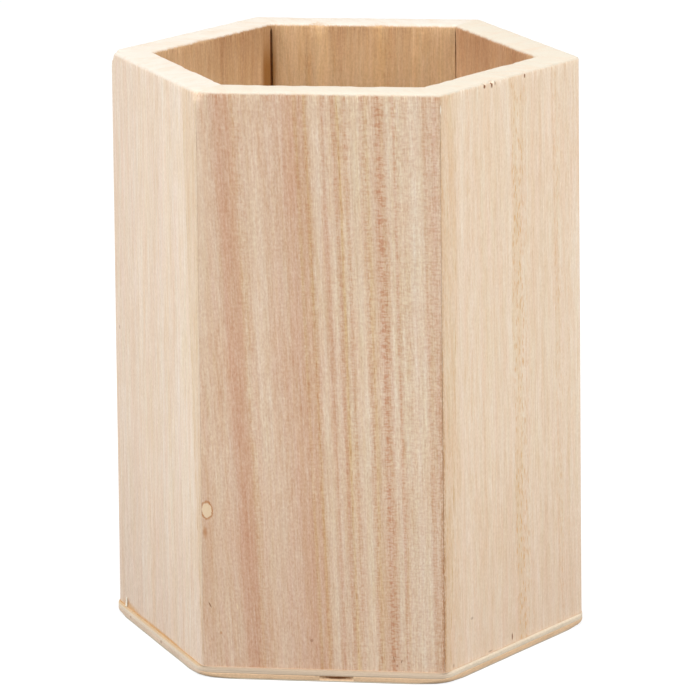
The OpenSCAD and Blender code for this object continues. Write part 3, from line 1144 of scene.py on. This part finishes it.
def mitre_cut(bm, side, joint, cap):
    """Cuts one end of the front board along its mitre: half the joint stays open, and closes at the rim."""
    outward = Vector((side * MITRE_SIN, -MITRE_COS, 0))
    away = Vector((side * MITRE_COS, MITRE_SIN, 0))
    outside = outward * OUTER / MITRE_COS - away * joint.open_outside * MM / 2
    inside = outward * INNER / MITRE_COS - away * joint.open_inside * MM / 2
    line = outside - inside
    verts, edges = bisect(bm, inside, Vector((-line.y, line.x, 0)) * side, clear=True)
    bmesh.ops.edgeloop_fill(bm, edges=edges)
    for vert in verts:
        share = min(1.0, max(0.0, (vert.co.z - RIM) / cap + CLOSING_START))
        vert.co -= away * vert.co.dot(away) * share


def splinter(sizes):
    """A sliver at the foot of the front board, which thins, leans and bends out to its tip."""
    bm = bmesh.new()
    bmesh.ops.create_grid(bm, x_segments=3, y_segments=12, size=0.5)
    spin(bm, math.pi / 2, "X")
    run_out(bm, (0, 1, 0))
    face = -OUTER - sizes.foot_flare
    for vert in bm.verts:
        across, depth, up = vert.co.x, vert.co.y, vert.co.z + 0.5
        thin = 1 - SPLINTER_THINNING * up**2
        vert.co.x = SPLINTER_PLACE + SPLINTER_WIDTH * (across * thin + SPLINTER_LEAN * up)
        vert.co.y = face - SPLINTER_DEPTH * (depth * thin + SPLINTER_GAP + SPLINTER_BEND * up**2)
        vert.co.z = FOOT - SPLINTER_SUNK + sizes.splinter_length * up
    return bm


class PENHOLDER_OT_boards(bpy.types.Operator):
    """Builds the six mitred boards"""

    bl_idname = "penholder.boards"
    bl_label = "Boards"

    def execute(self, context):
        sizes = context.scene.pen_holder_sizes
        woods = context.scene.pen_holder_woods
        plain = Tones(woods.back_pale, woods.back_dark, woods.end_grain, woods.pores)
        tones = {
            "front_board": Tones(woods.front_pale, woods.front_dark, woods.right_end, woods.pores),
            "front_right_board": Tones(woods.right_pale, woods.right_dark, woods.right_end, woods.amber),
            "back_right_board": Tones(woods.back_pale, woods.back_dark, woods.right_end, woods.amber),
            "front_left_board": Tones(woods.left_pale, woods.left_dark, woods.end_grain, woods.pores),
        }
        for count, board in enumerate(BOARDS):
            joints = (JOINTS[count - 1], JOINTS[count])
            turn = count * TURN
            bm = board_slab(sizes, *joints)
            if board.strip and board.strip.bow == 1:
                score_strip(bm, board.strip)
            lean_board(bm, sizes)
            sand(bm, sizes, count + 1)
            knock(bm, board.chips, -OUTER + sizes.rim_lean, CHIP_PUSH)
            knock(bm, board.dents, -INNER * leaning(sizes, RIM), DENT_PUSH)
            for side, joint in zip((-1, 1), joints):
                mitre_cut(bm, side, joint, sizes.joint_cap)
            spin(bm, turn)
            wood = board_wood(board, turn, joints, tones.get(board.name, plain), woods)
            add_piece(board.name, bm, wood, [board.node])
        bm = splinter(sizes)
        spin(bm, -TURN)
        # The splinter's near-white tone is partly a painted highlight
        add_piece("foot_splinter", bm, patchy_material("sliver_wood", woods.sliver, 0.3))
        return {"FINISHED"}


def outline(bm, reach, corners, cuts):
    """Draws a hexagon of edges that reaches a distance out at its sides, its corners rounded."""
    bmesh.ops.create_circle(bm, cap_ends=True, segments=SIDES, radius=reach / MITRE_COS)
    spin(bm, MITRE)
    for count, corner in enumerate(corners):
        heading = Vector((math.cos((count - 1) * TURN), math.sin((count - 1) * TURN), 0))
        vert = max(bm.verts, key=lambda vert: vert.co.dot(heading))
        round_corner(bm, vert, corner * MM * MITRE_TAN, CORNER_SEGMENTS)
    bmesh.ops.delete(bm, geom=bm.faces[:], context="FACES_ONLY")
    sides = [edge for edge in bm.edges if edge.calc_length() > reach / 2]
    bmesh.ops.subdivide_edges(bm, edges=sides, cuts=cuts)


def glue_sheet(sizes, joint, top, seed):
    """The glue of a mitre along X: a thin sheet with ragged edges, as thick as the joint is open."""
    start = INNER / MITRE_COS + joint.sunk_inside * MM
    stop = OUTER / MITRE_COS - joint.arris * MM * (1 / MITRE_COS - 1)
    bm = bmesh.new()
    bmesh.ops.create_grid(bm, x_segments=8, y_segments=120, size=0.5)
    spin(bm, math.pi / 2, "X")
    shift(bm, (0.5, 0, 0.5))
    bmesh.ops.scale(bm, verts=bm.verts[:], vec=(stop - start, 1, top - FOOT))
    shift(bm, (start, 0, FOOT))
    for vert in bm.verts:
        ragged = GLUE_RAGGED * (1 + rough(seed * 9.1, vert.co.x * 40, vert.co.z * 180))
        if vert.co.x > stop - SAME:
            vert.co.x -= ragged
        elif vert.co.x < start + SAME:
            vert.co.x += ragged
    run_out(bm, (0, MM, 0))
    for vert in bm.verts:
        vert.co.x *= leaning(sizes, vert.co.z)
        share = (vert.co.x - start) / (stop - start)
        half = GLUE_HALF * (joint.open_inside + (joint.open_outside - joint.open_inside) * share) * MM
        vert.co.y = half if vert.co.y > MM / 2 else -half
    return bm


def glue_ring(sizes, low, high):
    """The flat ring of glue under the boards, squeezed out a little around the foot."""
    bm = bmesh.new()
    outside = OUTER + sizes.foot_flare + sizes.squeeze
    outline(bm, outside, [joint.arris for joint in JOINTS], RING_SIDE_CUTS)
    mouth = bmesh.ops.create_circle(bm, segments=SIDES, radius=(INNER + sizes.squeeze) / MITRE_COS)
    spin(bm, MITRE, verts=mouth["verts"])
    bmesh.ops.bridge_loops(bm, edges=bm.edges[:])
    shift(bm, (0, 0, low))
    run_out(bm, (0, 0, high - low))
    return bm


class PENHOLDER_OT_glue_lines(bpy.types.Operator):
    """Fills the six mitres and the joint under the boards with glue"""

    bl_idname = "penholder.glue_lines"
    bl_label = "Glue lines"

    def execute(self, context):
        sizes = context.scene.pen_holder_sizes
        woods = context.scene.pen_holder_woods
        glue = patchy_material("joint_glue", woods.glue, 0.03)
        for count, joint in enumerate(JOINTS):
            bm = glue_sheet(sizes, joint, RIM - GLUE_STOP * sizes.joint_cap, count + 1)
            spin(bm, (count - 1) * TURN)
            add_piece(joint.name, bm, glue, [joint.node])
        # On the left the glue bed's darker tone is partly painted shade
        glue = patchy_material("bed_glue", woods.glue_bed, 0.2, woods.bed_side)
        low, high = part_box("base_glue_bed")
        bm = glue_ring(sizes, low.z, high.z)
        add_piece("base_glue_line", bm, glue, ["base_glue_bed"])
        return {"FINISHED"}


def near_corner(place):
    """1 at a corner of the base, and less with the distance from it."""
    turned = math.atan2(place.y, place.x) / TURN
    off = (turned - round(turned)) * TURN * BASE
    return max(0.0, 1 - (off / WORN_REACH)**2)**2


def ply_plate(sizes, low, high, top_radius):
    """One ply of the base: a hexagon with rounded corners and softened edges that wander a little."""
    bm = bmesh.new()
    outline(bm, BASE, [joint.base_corner for joint in JOINTS], PLY_SIDE_CUTS)
    bmesh.ops.edgeloop_fill(bm, edges=bm.edges[:])
    shift(bm, (0, 0, low))
    run_out(bm, (0, 0, high - low))
    upright = edges_along(bm, 2, (high - low) / 2)
    bmesh.ops.subdivide_edges(bm, edges=upright, cuts=PLY_EDGE_CUTS, use_grid_fill=True)
    foot_radius = min(sizes.ply_edge_radius, (high - low) * 0.4)
    top_radius = min(top_radius, (high - low) * 0.5)
    for vert in bm.verts:
        x, y, z = vert.co
        soft = rounding(z - low, foot_radius) + rounding(high - z, top_radius)
        soft += rounding(z, sizes.corner_wear * near_corner(vert.co))
        wander = PLY_WANDER * (1 + rough(x * PLY_WAVES, y * PLY_WAVES, low * 3000))
        vert.co -= Vector((x, y, 0)).normalized() * (soft + wander)
    return bm


def tear_void(bm, low, high):
    """Opens a torn void in the front edge of the core ply."""
    for vert in bm.verts:
        if vert.co.y < VOID_SKIN - BASE and VOID_START < vert.co.x < VOID_STOP:
            middle = 1 - abs(2 * (vert.co.z - low) / (high - low) - 1)
            vert.co.y += VOID_DEPTH * min(1.0, 1.5 * middle) * (0.8 + 0.2 * rough(vert.co.x * 900, 0, 0))


class PENHOLDER_OT_base(bpy.types.Operator):
    """Lays the three plies of the base"""

    bl_idname = "penholder.base"
    bl_label = "Base"

    def execute(self, context):
        sizes = context.scene.pen_holder_sizes
        woods = context.scene.pen_holder_woods
        # Tones by side: painted light and shade along the base's edges
        face = (woods.face_ply, woods.face_front, woods.face_left, woods.face_right)
        ledge = (woods.ledge_front, woods.ledge_left, woods.face_right)
        core = (woods.core_ply, woods.core_ply, woods.core_side, woods.core_ply)
        back = (woods.back_ply,) * 4
        edge = sizes.ply_edge_radius
        crosswise = math.pi / 2
        plies = (
            ("base_face_veneer", "base_face_ply", sizes.ledge_radius, (face, ledge, 0.25, 0.0, ())),
            ("base_core_veneer", "base_core_ply", edge, (core, (), 0.3, crosswise, CORE_MARKS)),
            ("base_back_veneer", "base_back_ply", edge, (back, (), 0.3, 0.0, ())),
        )
        for name, node, top_radius, looks in plies:
            low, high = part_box(node)
            bm = ply_plate(sizes, low.z, high.z, top_radius)
            if node == "base_core_ply":
                tear_void(bm, low.z, high.z)
            add_piece(name, bm, ply_material(name, *looks, woods), [node])
        return {"FINISHED"}


def seen_straight(bench):
    """1 where the camera sees a surface itself, in a gloss or through glass."""
    path = bench.put("LightPath").outputs
    glossy = bench.math("MAXIMUM", path["Is Glossy Ray"], path["Is Transmission Ray"])
    return bench.math("MAXIMUM", path["Is Camera Ray"], glossy)


def floor_white(stage):
    """White that keeps a shadow for the camera, and throws back less light than it shows."""
    material = bpy.data.materials.new("floor_white")
    material.use_nodes = True
    bench = Bench(material.node_tree)
    plain = bench.put("BsdfDiffuse", {"Color": (*(stage.floor_bounce,) * 3, 1)})
    faint = bench.put("BsdfDiffuse", {"Color": (*(FLOOR_GREY,) * 3, 1)})
    glow = bench.put("Emission", {"Color": WHITE, "Strength": FLOOR_GLOW})
    shown = bench.put("AddShader", {0: faint, 1: glow})
    mixed = bench.put("MixShader", {0: seen_straight(bench), 1: plain, 2: shown})
    bench.put("OutputMaterial", {"Surface": mixed})
    return material


def lay_floor(stage):
    """A white floor that keeps the holder's shadow, shows white away from it and is open under the base."""
    bm = bmesh.new()
    for reach in (FLOOR_REACH, BASE - FLOOR_LAP):
        bmesh.ops.create_circle(bm, segments=SIDES, radius=reach / MITRE_COS)
    bmesh.ops.bridge_loops(bm, edges=bm.edges[:])
    spin(bm, MITRE)
    shift(bm, (0, 0, -FLOOR_DROP))
    floor = new_object("floor", new_mesh("floor", bm, floor_white(stage)))


def hang_lights(stage):
    """A wide light overhead and one on each side: their names, places, sizes and powers."""
    lights = (
        ("top_light", (0.0, -0.1, 0.9), 0.8, stage.top_power),
        ("left_light", (-0.7, -0.4, 0.5), 0.6, stage.left_power),
        ("right_light", (0.7, -0.4, 0.5), 0.6, stage.right_power),
    )
    for name, place, size, power in lights:
        lamp = bpy.data.lights.new(name, "AREA")
        lamp.shape = "SQUARE"
        lamp.size = size
        lamp.energy = power
        light = new_object(name, lamp)
        light.location = place
        light.rotation_euler = (CENTRE - light.location).to_track_quat("-Z", "Y").to_euler()


def light_world(scene, stage):
    """Even white light from all round, which the camera sees as plain white."""
    scene.world = bpy.data.worlds.new("white_room")
    scene.world.use_nodes = True
    bench = Bench(scene.world.node_tree)
    strength = bench.range(seen_straight(bench), 0, 1, stage.world_level, 1.0, smooth=False)
    light = bench.put("Background", {"Color": WHITE, "Strength": strength})
    bench.put("OutputWorld", {"Surface": light})


def towards(azimuth, elevation):
    """The direction out of the holder's middle at an azimuth right of the front and an elevation."""
    flat = math.cos(elevation)
    return Vector((math.sin(azimuth) * flat, -math.cos(azimuth) * flat, math.sin(elevation)))


def place_camera(scene, stage):
    """The camera of the photograph's view, aimed a hair off the holder's middle."""
    lens = bpy.data.cameras.new("camera")
    lens.lens = stage.lens
    lens.sensor_width = 36
    lens.clip_start = 0.01
    camera = new_object("camera", lens)
    scene.camera = camera
    place = CENTRE + towards(stage.azimuth, stage.elevation) * stage.distance
    behind = towards(stage.azimuth + stage.aim_turn, stage.elevation + stage.aim_tilt)
    turned = behind.to_track_quat("Z", "Y").to_matrix() @ Matrix.Rotation(stage.roll, 3, "Z")
    camera.matrix_world = Matrix.Translation(place) @ turned.to_4x4()


class PENHOLDER_OT_stage(bpy.types.Operator):
    """Sets the white floor, the lights and the camera"""

    bl_idname = "penholder.stage"
    bl_label = "Stage"

    def execute(self, context):
        stage = context.scene.pen_holder_stage
        context.scene.view_settings.view_transform = "Standard"
        lay_floor(stage)
        hang_lights(stage)
        light_world(context.scene, stage)
        place_camera(context.scene, stage)
        return {"FINISHED"}


class PENHOLDER_PT_panel(bpy.types.Panel):
    """Lists the steps of the pen holder and their settings"""

    bl_idname = "PENHOLDER_PT_panel"
    bl_label = "Pen holder"
    bl_space_type = "VIEW_3D"
    bl_region_type = "UI"
    bl_category = "Pen holder"

    def draw(self, context):
        for step in STEPS:
            self.layout.operator(step.bl_idname)
        for settings in SETTINGS:
            group = getattr(context.scene, settings)
            for name in group.__annotations__:
                self.layout.prop(group, name)


SETTINGS = {
    "pen_holder_sizes": PenHolderSizes,
    "pen_holder_woods": PenHolderWoods,
    "pen_holder_stage": PenHolderStage,
}
STEPS = (PENHOLDER_OT_boards, PENHOLDER_OT_glue_lines, PENHOLDER_OT_base, PENHOLDER_OT_stage)
CLASSES = (*SETTINGS.values(), *STEPS, PENHOLDER_PT_panel)


def register():
    for cls in CLASSES:
        bpy.utils.register_class(cls)
    for name, cls in SETTINGS.items():
        setattr(bpy.types.Scene, name, bpy.props.PointerProperty(type=cls))


def unregister():
    for name in SETTINGS:
        delattr(bpy.types.Scene, name)
    for cls in reversed(CLASSES):
        bpy.utils.unregister_class(cls)


def main():
    register()
    for make_group in GROUPS:
        make_group()
    bpy.ops.penholder.boards()
    bpy.ops.penholder.glue_lines()
    bpy.ops.penholder.base()
    bpy.ops.penholder.stage()


if __name__ == "__main__":
    main()
